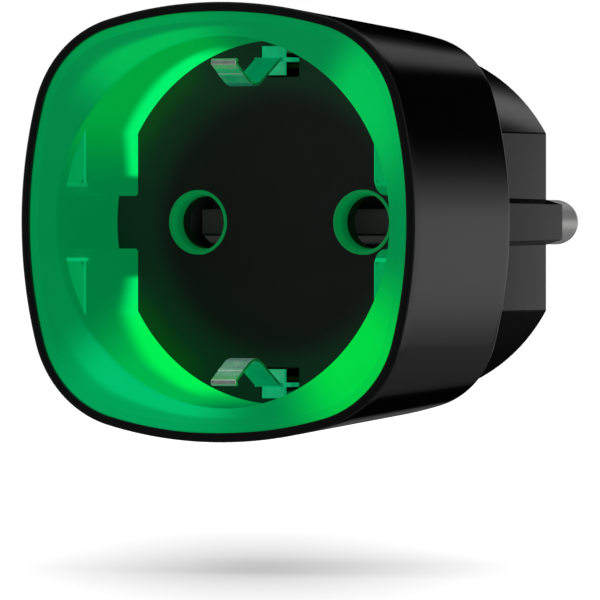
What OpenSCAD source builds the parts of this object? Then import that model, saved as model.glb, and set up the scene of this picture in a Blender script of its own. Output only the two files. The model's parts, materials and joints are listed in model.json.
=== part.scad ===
// Smart plug for round-pin wall sockets: a switched socket in front, a plug behind.
// +Z is up, the pins point along +Y and the socket faces -Y.
// The origin is the centre of the plug's rear face, where the two pins leave it.
// Depths are counted from the front rim backwards, towards the wall.

/* [Housing] */
// Width and height across the front rim
front_size = 45; // [44.5:0.1:46]
// Width and height across the rear shoulder
rear_size = 41.7; // [41.5:0.1:43]
// Depth from the front rim to the rear shoulder
shell_depth = 26.8; // [26.6:0.1:27.4]
// Radius of the four long side arcs of the outline
side_arc_r = 48; // [44:1:56]
// Radius of the front outline's corners
corner_arc_r = 11.85; // [11:0.1:13]
// Wall thickness of the housing
wall = 1.5; // [1.3:0.1:1.6]
// Width of the front rim
rim_w = 0.95; // [0.8:0.05:1.2]

/* [Socket] */
// Diameter of the round recess
recess_d = 37.9; // [37.7:0.1:38.1]
// Depth of the recess floor
recess_depth = 14.8; // [14.6:0.1:15]
// Distance between the two flat side ribs of the recess
rib_gap = 32.9; // [32.4:0.1:33.2]
// Height of the notch in each side rib
notch_h = 5.5; // [5:0.1:6]
// How far the shutter drops to clear the pin holes
shutter_drop = 4.2; // [4.1:0.05:4.25]

/* [Plug] */
// Diameter of the plug body
plug_d = 37.1; // [36.9:0.1:37.3]
// Distance between the two flats of the plug body
flat_gap = 32; // [31.8:0.1:32.2]
// Length of the plug body behind the housing
plug_length = 19.7; // [19.5:0.1:20]
// How far the guide rib stands out of each flat
guide_rib_h = 1.9; // [1.5:0.1:2.1]
// Diameter of the pins
pin_d = 4.8; // [4.78:0.01:4.82]
// Distance between the two pins
pin_pitch = 19; // [18.9:0.1:19.1]
// Length of the pins outside the plug body
pin_length = 19; // [18.5:0.1:19.5]

/* [Hidden] */
$fn = 64;
thin = 0.01;
gap = 0.05;

front_half = front_size / 2;
rear_half = rear_size / 2;
rear_corner_r = 8.8;
edge_round = 0.4;
front_y = -(shell_depth + plug_length);
rear_face = shell_depth + plug_length;
recess_r = recess_d / 2;
plug_r = plug_d / 2;
plug_wall = 1.85;
plug_inner_r = plug_r - plug_wall;
flat_half = flat_gap / 2;
pin_r = pin_d / 2;
pin_x = pin_pitch / 2;

lip_depth = 0.25;
lip_w = 1;
flange_end = 1.5;
funnel_end = 1.25;
rib_start = 3;
floor_front = recess_depth + 0.1;
floor_t = 1.6;
floor_r = recess_r + 0.4;
floor_back = floor_front + floor_t;
ring_r = 3.35;
ring_t = 2.1;
tube_r = 2.75;
tube_end = floor_back + 2.1;

chamber_front = tube_end + 0.15;
chamber_back = 23.8;
chamber_half_w = 12.2;
chamber_top = 3.6;
chamber_low = -7.1;
chamber_wall = 0.7;
carrier_r = 17;
flange_t = 1.25;
pocket_half = [3.6, 3.9];
pocket_wall = 0.55;
pocket_end = 36;
pin_hole_r = 2.65;

slide_tilt = 30;
slide_travel = shutter_drop / cos(slide_tilt);
nose_front = tube_end + 0.3;
nose_t = 2.2;
nose_low = -1.2;
runner_low = -2.6;
ramp_top = -1.4;
ramp_gap = 0.12;
spring_seat = [23.2, -8.3];
spring_len = 6.6;
spring_r = 1.15;
wire_r = 0.15;
spring_turns = 5;

contact_front = 25.2;
contact_back = 35;
contact_r = pin_r + 0.02;
contact_t = 0.58;

strip_half_w = 2.05;
clip_half_w = 2.9;
clip_start = 27;
side_slot_half_w = 2.5;
strip_t = 0.42;
leaf_half_w = 1.43;
leaf_t = 0.36;
leaf_z = 16.8;
leaf_pivot = 13;
strip_low_z = 15.85;

base_back = rear_face - 1.9;
base_flange = [23, 24.85];
skirt_r = [17.3, 18.6];
skin_t = 0.1;
collar_r = 2.7;
boss_r = 1.9;
screw_r = 0.95;
screw_places = [[-9.4, 10.2], [9.4, -10.2]];

board_front = 41;
board_t = 1.5;
board_back = board_front + board_t;
board_r = 16.2;
board_half_w = 13.9;
through = board_back + 0.4;

relay_half = [5.1, 9.2];
relay_top = 25.9;
relay_wall = 0.55;
coil_z = 3.2;
armature_pivot = [28.1, 8];
terminal_places = [[-3, 7], [3, 7], [0, -4.5]];
link_places = [[-6, 5.6], [-6, 7.1], [-6, 8.6], [-6, 10.1]];

radio_front = 24.2;
led_front = 16.5;
led_t = 0.7;
led_ring_r = 20.55;

// Half size, corner radius and outline of the housing at a depth, with the wall taken off by inset
function part_way(depth) = depth / shell_depth;
function half_at(depth) = front_half + (rear_half - front_half) * part_way(depth);
function corner_at(depth) = corner_arc_r + (rear_corner_r - corner_arc_r) * part_way(depth);
function turned(p, a) = [p[0] * cos(a) - p[1] * sin(a), p[0] * sin(a) + p[1] * cos(a)];
function arc(centre, r, from, to, n) =
  [for (i = [0:n - 1]) let (a = from + (to - from) * i / n) centre + r * [cos(a), sin(a)]];

// Rounded square made of four long side arcs and four corner arcs that meet tangent
function rounded_square(half, side_r, corner_r) =
  let (
    q = (half - side_r) / (side_r - corner_r),
    meet = 45 + asin(q / sqrt(2)),
    c = (side_r - corner_r) * sin(meet),
    side = arc([half - side_r, 0], side_r, -meet, meet, 8),
    corner = arc([c, c], corner_r, meet, 90 - meet, 14)
  )
  [for (k = [0:3]) for (p = concat(side, corner)) turned(p, 90 * k)];

module outline_at(depth, inset) {
  polygon(rounded_square(half_at(depth) - inset, side_arc_r - inset, corner_at(depth) - inset));
}

// Sweeps its 2D children, drawn as seen from the front, from one depth to another
module between(from, to) {
  translate([0, front_y + from, 0])
    rotate([90, 0, 0])
      mirror([0, 0, 1])
        linear_extrude(height = to - from)
          children();
}

// Turns 3D children so that their +Z runs backwards from a depth
module along(x, z, depth) {
  translate([x, front_y + depth, z])
    rotate([90, 0, 0])
      mirror([0, 0, 1])
        children();
}

module rod(x, z, from, to, r) {
  along(x, z, from)
    cylinder(h = to - from, r = r);
}

module tube(x, z, from, to, r, bore) {
  difference() {
    rod(x, z, from, to, r);
    rod(x, z, from - 1, to + 1, bore);
  }
}

// Box given by its X range, its depth range and its Z range
module block(x, depth, z) {
  translate([x[0], front_y + depth[0], z[0]])
    cube([x[1] - x[0], depth[1] - depth[0], z[1] - z[0]]);
}

// Box whose X range is centred
module plate(half_w, depth, z) {
  block([-half_w, half_w], depth, z);
}

// Sweeps a [depth, z] outline across the width
module across(from, to, points) {
  translate([from, front_y, 0])
    rotate([90, 0, 90])
      linear_extrude(height = to - from)
        polygon(points);
}

// Solid of the housing's tapering outline between two depths
module taper(from, to, inset) {
  hull() {
    between(from, from + thin) outline_at(from, inset);
    between(to - thin, to) outline_at(to, inset);
  }
}

// Local +Z points from the fixed spring seat towards the shutter
module on_slide_axis() {
  translate([0, front_y + spring_seat[0], spring_seat[1]])
    rotate([slide_tilt, 0, 0])
      children();
}

module mirrored_down() {
  mirror([0, 0, 1])
    children();
}

module plug_outline(grow) {
  intersection() {
    circle(r = plug_r + grow);
    square([flat_gap + 2 * grow, plug_d + 4], center = true);
  }
}

module recess_outline() {
  intersection() {
    circle(r = recess_r);
    square([rib_gap, recess_d + 2], center = true);
  }
  intersection() {
    circle(r = recess_r - 0.1);
    square([recess_d + 2, notch_h], center = true);
  }
}

module outer_housing() {
  color([0.07, 0.07, 0.075])
    difference() {
      hull() {
        between(0, thin) outline_at(0, edge_round);
        between(edge_round, edge_round + thin) outline_at(edge_round, 0);
        between(shell_depth - edge_round, shell_depth - edge_round + thin)
          outline_at(shell_depth - edge_round, 0);
        between(shell_depth - thin, shell_depth) outline_at(shell_depth, edge_round);
      }
      between(-1, flange_end + 0.1) outline_at(0, rim_w);
      taper(flange_end, base_flange[1] + 0.1, wall);
      between(base_flange[1], shell_depth + 1) plug_outline(0.1);
    }
}

module light_guide() {
  color([0.1, 0.75, 0.35])
    difference() {
      union() {
        between(lip_depth, flange_end) outline_at(0, rim_w + gap);
        taper(flange_end, recess_depth + gap, wall + 0.2);
      }
      hull() {
        between(lip_depth - thin, lip_depth + 0.1) outline_at(0, rim_w + lip_w);
        rod(0, 0, funnel_end, funnel_end + thin, recess_r + 0.1);
      }
      rod(0, 0, funnel_end, rib_start + thin, recess_r);
      between(rib_start, recess_depth + 1) recess_outline();
    }
}

module pin_light_ring(x) {
  color([0.1, 0.7, 0.35])
    difference() {
      rod(x, 0, recess_depth, recess_depth + ring_t, ring_r);
      along(x, 0, recess_depth - thin)
        cylinder(h = ring_t + 2 * thin, r1 = 3.05, r2 = 2.72);
    }
}

module left_pin_light_ring() {
  pin_light_ring(-pin_x);
}

module right_pin_light_ring() {
  pin_light_ring(pin_x);
}

module earth_slot() {
  plate(strip_half_w + 0.2, [floor_front - 1, floor_back + 1], [15, 17.9]);
}

module socket_floor() {
  color([0.09, 0.09, 0.09])
    difference() {
      union() {
        rod(0, 0, floor_front, floor_back, floor_r);
        for (x = [-pin_x, pin_x])
          rod(x, 0, floor_back - thin, tube_end, ring_r + 1.15);
      }
      for (x = [-pin_x, pin_x]) {
        rod(x, 0, floor_front - 1, recess_depth + ring_t + gap, ring_r + gap);
        rod(x, 0, floor_front, tube_end + 1, tube_r);
      }
      earth_slot();
      mirrored_down() earth_slot();
    }
}

// The nose has a flat front face between the pin holes' centres, and a sloping underside.
// Two runners under it rest on the carrier's ramps, and a pad in the middle holds the spring.
module shutter_slider() {
  nose = [
    [nose_front, 1.35],
    [nose_front + 0.2, 1.45],
    [nose_front + nose_t, 1.45],
    [nose_front + nose_t, -2.3],
    [nose_front, nose_low]
  ];
  runner = [
    [nose_front, nose_low],
    [nose_front + (nose_low - runner_low) * tan(slide_tilt), runner_low],
    [nose_front + nose_t, runner_low],
    [nose_front + nose_t, nose_low]
  ];
  color([0.2, 0.2, 0.21])
    union() {
      across(-11, 12, nose);
      for (x = [-6.2, 5])
        across(x, x + 1.2, runner);
      on_slide_axis() {
        translate([0, 0, spring_len])
          cylinder(h = 1.6, r = 1.6);
        translate([0, 0, spring_len - 1])
          cylinder(h = 1.1, r = 0.7);
      }
    }
}

// Closed tube swept along a helix, one ring of points at each step
module shutter_spring() {
  sides = 6;
  steps = 14 * spring_turns;
  pitch = (spring_len - 2 * wire_r - 2 * gap) / spring_turns;
  function ring(i) =
    let (a = 360 * spring_turns * i / steps, z = pitch * spring_turns * i / steps)
    [for (k = [0:sides - 1])
      let (b = 360 * k / sides, r = spring_r + wire_r * cos(b))
      [r * cos(a), r * sin(a), z + wire_r * sin(b)]];
  points = [for (i = [0:steps]) each ring(i)];
  walls = [for (i = [0:steps - 1], k = [0:sides - 1])
    let (n = (k + 1) % sides)
    [i * sides + k, i * sides + n, (i + 1) * sides + n, (i + 1) * sides + k]];
  start = [for (k = [sides - 1:-1:0]) k];
  finish = [for (k = [0:sides - 1]) steps * sides + k];
  color([0.75, 0.76, 0.78])
    on_slide_axis()
      translate([0, 0, wire_r + gap])
        polyhedron(points = points, faces = concat([start], walls, [finish]));
}

module strip_notch() {
  plate(strip_half_w + 0.4, [chamber_front - 1, chamber_front + flange_t + 1], [15.2, 18]);
}

// Flange, shutter chamber open to the front, spring well and two pockets for the sleeve contacts
module contact_carrier() {
  ramp_low = chamber_low - 0.1;
  ramp_face = nose_front - ramp_gap;
  ramp = [
    [chamber_front + 0.1, ramp_top],
    [ramp_face + (nose_low - ramp_top) * tan(slide_tilt), ramp_top],
    [ramp_face + (nose_low - ramp_low) * tan(slide_tilt), ramp_low],
    [chamber_front + 0.1, ramp_low]
  ];
  color([0.16, 0.16, 0.17])
    difference() {
      union() {
        difference() {
          union() {
            rod(0, 0, chamber_front, chamber_front + flange_t, carrier_r);
            plate(
              chamber_half_w + chamber_wall,
              [chamber_front, chamber_back + 0.9],
              [chamber_low - chamber_wall, chamber_top + 0.8]
            );
            for (x = [-pin_x, pin_x])
              block(
                [x - pocket_half[0], x + pocket_half[0]],
                [chamber_back, pocket_end],
                [-pocket_half[1], pocket_half[1]]
              );
          }
          plate(
            chamber_half_w,
            [chamber_front - 1, chamber_back],
            [chamber_low, chamber_top]
          );
        }
        for (x = [-6.2, 5])
          across(x, x + 1.2, ramp);
        on_slide_axis()
          translate([0, 0, -0.7])
            cylinder(h = 1.6, r = 2.2);
      }
      on_slide_axis()
        cylinder(h = 10, r = 1.75);
      for (x = [-pin_x, pin_x]) {
        rod(x, 0, chamber_back - 1, chamber_back + 2, pin_hole_r);
        block(
          [x - pocket_half[0] + pocket_wall, x + pocket_half[0] - pocket_wall],
          [chamber_back + 0.9, pocket_end + 1],
          [-pocket_half[1] + pocket_wall, pocket_half[1] - pocket_wall]
        );
      }
      for (p = screw_places)
        rod(p[0], p[1], chamber_front - 1, chamber_front + flange_t + 1, screw_r + 0.25);
      strip_notch();
      mirrored_down() strip_notch();
    }
}

// Split sleeve that grips a pin, with a tail that passes through the main board
module socket_contact(x, side) {
  tail_z = -contact_r - contact_t;
  color([0.8, 0.66, 0.35])
    difference() {
      union() {
        rod(x, 0, contact_front, contact_back, contact_r + contact_t);
        block([x - 1.5, x + 1.5], [contact_back - 2, through], [tail_z, tail_z + 0.55]);
      }
      rod(x, 0, contact_front - 1, contact_back + 1, contact_r);
      block(
        [x + side * 3 - 1.5, x + side * 3 + 1.5],
        [contact_front - 1, contact_back + 1],
        [-0.5, 0.5]
      );
    }
}

module live_socket_contact() {
  socket_contact(pin_x, 1);
}

module neutral_socket_contact() {
  socket_contact(-pin_x, -1);
}

// Flat spring that runs forward from its root, dips to a rounded elbow and ends in a rolled lip
module earth_leaf() {
  half_t = leaf_t / 2;
  elbow = [6.5, 14.35];
  lip = [1.95, 16.35];
  bend = [12.4, leaf_z];
  color([0.72, 0.72, 0.7])
    union() {
      for (run = [[[leaf_pivot, leaf_z], bend], [bend, elbow], [elbow, lip]])
        leaf_run(run[0], run[1], half_t);
      for (p = [[leaf_pivot, leaf_z], bend, elbow])
        leaf_round(p, half_t);
      leaf_round(lip, 0.4);
    }
}

module leaf_run(a, b, half_t) {
  length = norm(b - a);
  side = [-(b[1] - a[1]), b[0] - a[0]] * half_t / length;
  across(-leaf_half_w, leaf_half_w, [a + side, b + side, b - side, a - side]);
}

module leaf_round(p, r) {
  translate([-leaf_half_w, front_y + p[0], p[1]])
    rotate([0, 90, 0])
      cylinder(h = 2 * leaf_half_w, r = r);
}

module upper_earth_leaf() {
  earth_leaf();
}

module lower_earth_leaf() {
  mirrored_down() earth_leaf();
}

// Strip behind the leaf: a front tab, a run through the floor, a step down and the plug's side contact
module earth_strip() {
  top = leaf_z + strip_t / 2;
  low = strip_low_z;
  step = 21;
  color([0.74, 0.74, 0.72])
    union() {
      across(-strip_half_w, strip_half_w, [
        [leaf_pivot + leaf_t / 2 + gap, top],
        [step + 0.7, top],
        [step + 1.7, low + strip_t],
        [base_back - gap, low + strip_t],
        [base_back - gap, low],
        [step + 1.5, low],
        [step + 0.5, top - strip_t],
        [leaf_pivot + leaf_t / 2 + gap, top - strip_t]
      ]);
      plate(clip_half_w, [clip_start, base_back - gap], [low, low + strip_t]);
      plate(1.3, [leaf_pivot + 0.4, leaf_pivot + 0.82], [15.2, 18.2]);
    }
}

module upper_earth_strip() {
  earth_strip();
}

module lower_earth_strip() {
  mirrored_down() earth_strip();
}

// Half ring on the left that joins the two earth strips
module earth_bridge() {
  outer = leaf_z - strip_t / 2 - 0.02;
  color([0.78, 0.64, 0.34])
    along(0, 0, chamber_front + flange_t + 0.3)
      rotate([0, 0, 90])
        rotate_extrude(angle = 180)
          translate([outer - 0.45, 0])
            square([0.45, 1]);
}

module side_slot() {
  plate(side_slot_half_w, [29, rear_face + 1], [strip_low_z - gap, plug_r + 1]);
}

module guide_rib() {
  out = flat_half + guide_rib_h;
  inner = flat_half - 0.4;
  hull() {
    between(shell_depth, shell_depth + thin)
      polygon([[inner, -2.65], [out, -2.02], [out, 2.02], [inner, 2.65]]);
    between(rear_face - thin, rear_face)
      polygon([[inner, -2.4], [out, -1.85], [out, 1.85], [inner, 2.4]]);
  }
}

// Cup with two flats, guide ribs, a flange behind the housing's shoulder and two screw bosses
module plug_base() {
  color([0.06, 0.06, 0.065])
    difference() {
      union() {
        difference() {
          union() {
            between(base_flange[1] - thin, rear_face) plug_outline(0);
            between(base_flange[0], base_flange[1]) outline_at(base_flange[1], wall + 0.15);
            rod(0, 0, 18.35, base_flange[0] + thin, skirt_r[1]);
            guide_rib();
            mirror([1, 0, 0]) guide_rib();
          }
          rod(0, 0, 18, base_flange[0], skirt_r[0]);
          between(base_flange[0] - 1, base_back)
            intersection() {
              circle(r = plug_inner_r);
              square([flat_gap - 2 * plug_wall, plug_d], center = true);
            }
        }
        for (p = screw_places)
          rod(p[0], p[1], chamber_front + flange_t + gap, base_back + thin, boss_r);
      }
      for (p = screw_places)
        rod(p[0], p[1], chamber_front, 30, screw_r + 0.02);
      for (x = [-pin_x, pin_x]) {
        rod(x, 0, base_back - 1, rear_face + 1, pin_r + 0.02);
        rod(x, 0, base_back - 1, rear_face - skin_t, collar_r + 0.02);
      }
      side_slot();
      mirrored_down() side_slot();
    }
}

// Round pin with a domed end, a collar in the rear wall, a head inside it and a tail into the board
module plug_pin(x) {
  tip = rear_face + pin_length;
  color([0.75, 0.75, 0.74])
    union() {
      rod(x, 0, rear_face - 1, tip - pin_r, pin_r);
      rod(x, 0, base_back - 0.1, rear_face - skin_t, collar_r);
      along(x, 0, tip - pin_r) sphere(r = pin_r);
      rod(x, 0, base_back - 1.2, base_back - 0.02, 3.2);
      rod(x, 0, board_front - 0.6, base_back - 1.1, 1.2);
    }
}

module live_pin() {
  plug_pin(pin_x);
}

module neutral_pin() {
  plug_pin(-pin_x);
}

module carrier_screws() {
  color([0.7, 0.71, 0.73])
    for (p = screw_places)
      difference() {
        union() {
          rod(p[0], p[1], chamber_front - 1.25, chamber_front - 0.02, 1.8);
          rod(p[0], p[1], chamber_front - 0.1, 27, screw_r);
        }
        for (a = [0, 90])
          along(p[0], p[1], chamber_front - 1.3)
            rotate([0, 0, a])
              cube([2.2, 0.45, 1.3], center = true);
      }
}

module board_slot(half_w, x, z) {
  block([x - half_w, x + half_w], [board_front - 1, board_back + 1], z);
}

module main_board() {
  color([0.07, 0.32, 0.16])
    difference() {
      between(board_front, board_back)
        intersection() {
          circle(r = board_r);
          square([2 * board_half_w, 2 * board_r], center = true);
        }
      for (p = screw_places)
        rod(p[0], p[1], board_front - 1, board_back + 1, boss_r + 0.3);
      for (x = [-pin_x, pin_x]) {
        rod(x, 0, board_front - 1, board_back + 1, 1.3);
        board_slot(1.65, x, [-3.15, -2.3]);
      }
      for (p = terminal_places)
        rod(p[0], p[1], board_front - 1, board_back + 1, 0.5);
      board_slot(2.15, 0, [-8.05, -7.2]);
      board_slot(clip_half_w + 0.2, 0, [strip_low_z - 0.25, 17]);
      board_slot(clip_half_w + 0.2, 0, [-17, 0.25 - strip_low_z]);
    }
}

module relay_base() {
  color([0.12, 0.12, 0.13])
    difference() {
      plate(relay_half[0] - relay_wall - gap, [39.75, 40.9],
        [-relay_half[1] + relay_wall + gap, relay_half[1] - relay_wall - gap]);
      for (p = terminal_places)
        rod(p[0], p[1], 39, 42, 0.45);
      plate(2.1, [39, 42], [-8, -7.25]);
    }
}

module relay_cover() {
  color([0.1, 0.1, 0.11])
    difference() {
      plate(relay_half[0], [relay_top, board_front - gap], [-relay_half[1], relay_half[1]]);
      plate(relay_half[0] - relay_wall, [relay_top + relay_wall, board_front + 1],
        [-relay_half[1] + relay_wall, relay_half[1] - relay_wall]);
    }
}

module relay_bobbin() {
  color([0.85, 0.83, 0.78])
    difference() {
      union() {
        rod(0, coil_z, 29.1, 29.7, 4.1);
        rod(0, coil_z, 29.1, 38.6, 2.35);
        rod(0, coil_z, 38, 38.6, 4.1);
      }
      rod(0, coil_z, 29, 39, 1.85);
    }
}

module relay_coil() {
  color([0.72, 0.38, 0.16])
    tube(0, coil_z, 29.75, 37.95, 3.9, 2.4);
}

module relay_core() {
  color([0.6, 0.6, 0.62])
    union() {
      rod(0, coil_z, 28.85, 29.05, 2.6);
      rod(0, coil_z, 28.85, 38.68, 1.8);
    }
}

module relay_yoke() {
  color([0.62, 0.62, 0.64])
    union() {
      plate(3.4, [38.7, 39.5], [0, 8.45]);
      plate(3.4, [armature_pivot[0] + gap, 39.5], [7.6, 8.45]);
    }
}

// Clapper that rocks on the yoke's end
module relay_armature() {
  color([0.65, 0.65, 0.67])
    union() {
      plate(3.2, [armature_pivot[0] - 0.8, armature_pivot[0] - 0.05], [-0.6, 8.2]);
      translate([-3.2, front_y + armature_pivot[0] - 0.35, armature_pivot[1] - 0.15])
        rotate([0, 90, 0])
          cylinder(h = 6.4, r = 0.35);
    }
}

module relay_contact_spring() {
  color([0.8, 0.55, 0.3])
    union() {
      plate(1.8, [armature_pivot[0] - 1.1, armature_pivot[0] - 0.82], [-7.5, 6.5]);
      rod(0, -6.4, armature_pivot[0] - 0.9, armature_pivot[0] + 0.05, 1.1);
    }
}

module relay_fixed_contact() {
  color([0.8, 0.66, 0.35])
    union() {
      rod(0, -6.4, 29.6, 30.1, 1.2);
      plate(1.9, [30.05, 30.55], [-7.9, -5.2]);
      plate(1.9, [30.1, through], [-7.9, -7.35]);
    }
}

module relay_terminals() {
  color([0.78, 0.79, 0.8])
    for (p = terminal_places)
      rod(p[0], p[1], 39.55, through, 0.35);
}

module electrolytic_capacitor() {
  color([0.1, 0.1, 0.14])
    union() {
      rod(9.3, 8.4, 30, 37.9, 3.1);
      rod(9.3, 8.4, 37.8, 38.5, 2.85);
      rod(9.3, 8.4, 38.4, 40.6, 3.1);
      for (x = [-1.2, 1.2])
        rod(9.3 + x, 8.4, 40.5, board_front - gap, 0.3);
    }
}

module film_capacitor() {
  color([0.75, 0.68, 0.25])
    union() {
      plate(5, [32.2, 40.3], [9.9, 14.1]);
      for (x = [-3.8, 3.8])
        rod(x, 12, 40.2, board_front - gap, 0.35);
    }
}

module inductor_core() {
  color([0.18, 0.18, 0.19])
    union() {
      rod(-9.3, -8.6, 35.5, 36.4, 3.5);
      rod(-9.3, -8.6, 36, 40.5, 1.6);
      rod(-9.3, -8.6, 40.05, board_front - gap, 3.5);
    }
}

module inductor_winding() {
  color([0.72, 0.4, 0.18])
    tube(-9.3, -8.6, 36.45, 40, 3.05, 1.65);
}

module surge_varistor() {
  color([0.12, 0.28, 0.5])
    union() {
      translate([0, front_y + 36.4, -12.2])
        cylinder(h = 2.3, r = 3.5);
      for (x = [-2.4, 2.4])
        rod(x, -11, 38, board_front - gap, 0.35);
    }
}

module fuse() {
  color([0.55, 0.75, 0.6])
    union() {
      translate([-3.2, front_y + 38.6, -13.9])
        rotate([0, 90, 0])
          cylinder(h = 6.4, r = 1.1);
      translate([-4.2, front_y + 38.6, -13.9])
        rotate([0, 90, 0])
          cylinder(h = 8.4, r = 0.3);
      for (x = [-4.2, 4.2])
        rod(x, -13.9, 38.3, board_front - gap, 0.3);
    }
}

module control_chip() {
  color([0.1, 0.1, 0.1])
    union() {
      plate(1.95, [board_back + 0.15, board_back + 1.5], [-12.6, -9.2]);
      for (z = [-12.1:0.8:-9.6])
        plate(2.9, [board_back + gap, board_back + 0.35], [z - 0.15, z + 0.25]);
    }
}

module bridge_rectifier() {
  color([0.12, 0.12, 0.13])
    union() {
      plate(2.3, [board_back + 0.15, board_back + 1.5], [5, 9]);
      for (x = [-1.5, 1])
        block([x, x + 0.6], [board_back + gap, board_back + 0.4], [4.2, 9.8]);
    }
}

module current_shunt() {
  color([0.7, 0.5, 0.35])
    union() {
      plate(3, [board_back + 0.5, board_back + 0.8], [-1.5, 1.5]);
      for (x = [-3.2, 2.2])
        block([x, x + 1], [board_back + gap, board_back + 0.8], [-1.5, 1.5]);
    }
}

module radio_board() {
  color([0.05, 0.2, 0.35])
    block([-6.8, 7.2], [radio_front, radio_front + 0.8], [5, 14.2]);
}

module radio_chip() {
  color([0.1, 0.1, 0.1])
    block([-4, 0], [radio_front - 0.85, radio_front - gap], [7.5, 11.5]);
}

module radio_shield() {
  color([0.78, 0.79, 0.8])
    difference() {
      block([-5.8, 1.4], [radio_front - 1.8, radio_front - gap], [5.7, 13.5]);
      block([-5.6, 1.2], [radio_front - 1.6, radio_front + 1], [5.9, 13.3]);
    }
}

module antenna() {
  color([0.8, 0.68, 0.4])
    union() {
      block([2.4, 6.8], [radio_front - 3, radio_front - 2.7], [9, 13.6]);
      block([2.4, 3.2], [radio_front - 3, radio_front - gap], [9, 9.3]);
      block([4.4, 5.2], [radio_front - 3, radio_front - gap], [9, 9.3]);
    }
}

module board_link_pins() {
  color([0.8, 0.7, 0.35])
    for (p = link_places)
      block(
        [p[0] - 0.3, p[0] + 0.3],
        [radio_front + 0.8 + gap, board_front - gap],
        [p[1] - 0.3, p[1] + 0.3]
      );
}

module led_board() {
  color([0.9, 0.9, 0.88])
    between(led_front + led_t, led_front + led_t + 1)
      difference() {
        outline_at(18.2, wall + 0.3);
        circle(r = skirt_r[0] + 0.25);
      }
}

module status_led(a) {
  size = [2, 2.4];
  p = led_ring_r * [cos(a), sin(a)];
  color([0.85, 0.9, 0.8])
    along(p[0], p[1], led_front)
      rotate([0, 0, a])
        difference() {
          translate([-size[0] / 2, -size[1] / 2, 0])
            cube([size[0], size[1], led_t - 0.02]);
          translate([0, 0, -thin])
            cylinder(h = 0.25, r1 = 0.8, r2 = 0.65);
        }
}

module led_upper_left() {
  status_led(135);
}

module led_upper_right() {
  status_led(45);
}

module led_lower_left() {
  status_led(225);
}

module led_lower_right() {
  status_led(315);
}

outer_housing();
light_guide();
left_pin_light_ring();
right_pin_light_ring();
socket_floor();
shutter_slider();
shutter_spring();
contact_carrier();
live_socket_contact();
neutral_socket_contact();
upper_earth_leaf();
lower_earth_leaf();
upper_earth_strip();
lower_earth_strip();
earth_bridge();
plug_base();
live_pin();
neutral_pin();
carrier_screws();
main_board();
relay_base();
relay_cover();
relay_bobbin();
relay_coil();
relay_core();
relay_yoke();
relay_armature();
relay_contact_spring();
relay_fixed_contact();
relay_terminals();
electrolytic_capacitor();
film_capacitor();
inductor_core();
inductor_winding();
surge_varistor();
fuse();
control_chip();
bridge_rectifier();
current_shunt();
radio_board();
radio_chip();
radio_shield();
antenna();
board_link_pins();
led_board();
led_upper_left();
led_upper_right();
led_lower_left();
led_lower_right();
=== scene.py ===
import json
import math

import bmesh
import bpy
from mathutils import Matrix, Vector


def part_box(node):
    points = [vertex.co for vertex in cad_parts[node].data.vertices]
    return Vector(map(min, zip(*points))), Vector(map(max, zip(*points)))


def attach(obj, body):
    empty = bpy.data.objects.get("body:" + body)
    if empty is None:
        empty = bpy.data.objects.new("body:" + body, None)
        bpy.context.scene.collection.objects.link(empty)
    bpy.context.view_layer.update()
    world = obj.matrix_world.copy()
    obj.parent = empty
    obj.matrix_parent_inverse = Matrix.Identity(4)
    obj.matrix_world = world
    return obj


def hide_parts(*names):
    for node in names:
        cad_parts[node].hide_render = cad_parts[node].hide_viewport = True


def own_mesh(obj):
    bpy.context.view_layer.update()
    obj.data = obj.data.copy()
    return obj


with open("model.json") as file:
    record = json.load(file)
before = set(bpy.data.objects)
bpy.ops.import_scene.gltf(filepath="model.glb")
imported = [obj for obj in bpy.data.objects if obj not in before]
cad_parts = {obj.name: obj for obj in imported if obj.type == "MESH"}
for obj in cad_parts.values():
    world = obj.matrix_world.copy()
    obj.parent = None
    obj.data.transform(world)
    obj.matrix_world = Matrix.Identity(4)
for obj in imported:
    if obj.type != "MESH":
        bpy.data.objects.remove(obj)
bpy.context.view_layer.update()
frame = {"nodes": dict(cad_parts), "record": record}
MM = 0.001

# ---------------------------------------------------------------- sizes, in millimetres

# Housing; the taper takes 0.012 off its half width before the rim's rounding ends
HOUSING_LOW, HOUSING_HIGH = (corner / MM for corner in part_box("outer_housing"))
FRONT_Y = HOUSING_LOW.y
FRONT_HALF = HOUSING_HIGH.x + 0.012
SHELL_DEPTH = HOUSING_HIGH.y - FRONT_Y
REAR_HALF = 20.85
SIDE_ARC_R = 48.0
FRONT_CORNER_R = 11.85
REAR_CORNER_R = 8.8
WALL = 1.5
RIM_W = 0.95
RIM_ROUND = 0.34
SHOULDER_ROUND = 0.45
OPENING_GAP = 0.1
# Light guide and recess
LIP_DEPTH = 0.25
LIP_W = 1.0
FUNNEL_END = 1.25
RIB_START = 3.0
FLOOR_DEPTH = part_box("socket_floor")[0].y / MM - FRONT_Y - 0.1
RING_END = FLOOR_DEPTH + 2.1
RECESS_R = 19.05
RECESS_BACK_R = 18.87
CHORD_X = 16.45
NOTCH_Z = 2.75
NOTCH_ROUND = 1.2
RIB_ROUND = 0.25
# Plug body; a pair of rib widths is at the housing and at the rear
PLUG_R = 18.55
PLUG_FLAT = 16.0
PLUG_CORNER_R = 0.45
REAR_FACE = -FRONT_Y
REAR_ROUND = 0.3
BASE_BACK = REAR_FACE - 1.9
FLANGE = (23.0, 24.85)
SKIRT_R = (17.3, 18.6)
SKIRT_FRONT = 18.35
CAVITY_R = 16.7
CAVITY_FLAT = 14.15
SLOT_HALF_W = 2.5
SLOT_Z = 15.8
SLOT_FRONT = 29.0
RIB_OUT = 17.9
RIB_TOP_HALF = (2.02, 1.85)
RIB_ROOT_HALF = (2.65, 2.4)
SCREW_PLACES = ((-9.4, 10.2), (9.4, -10.2))
SCREW_HOLE_R = 0.97
BOSS_FRONT = 20.05
BOSS_R = 1.9
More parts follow.
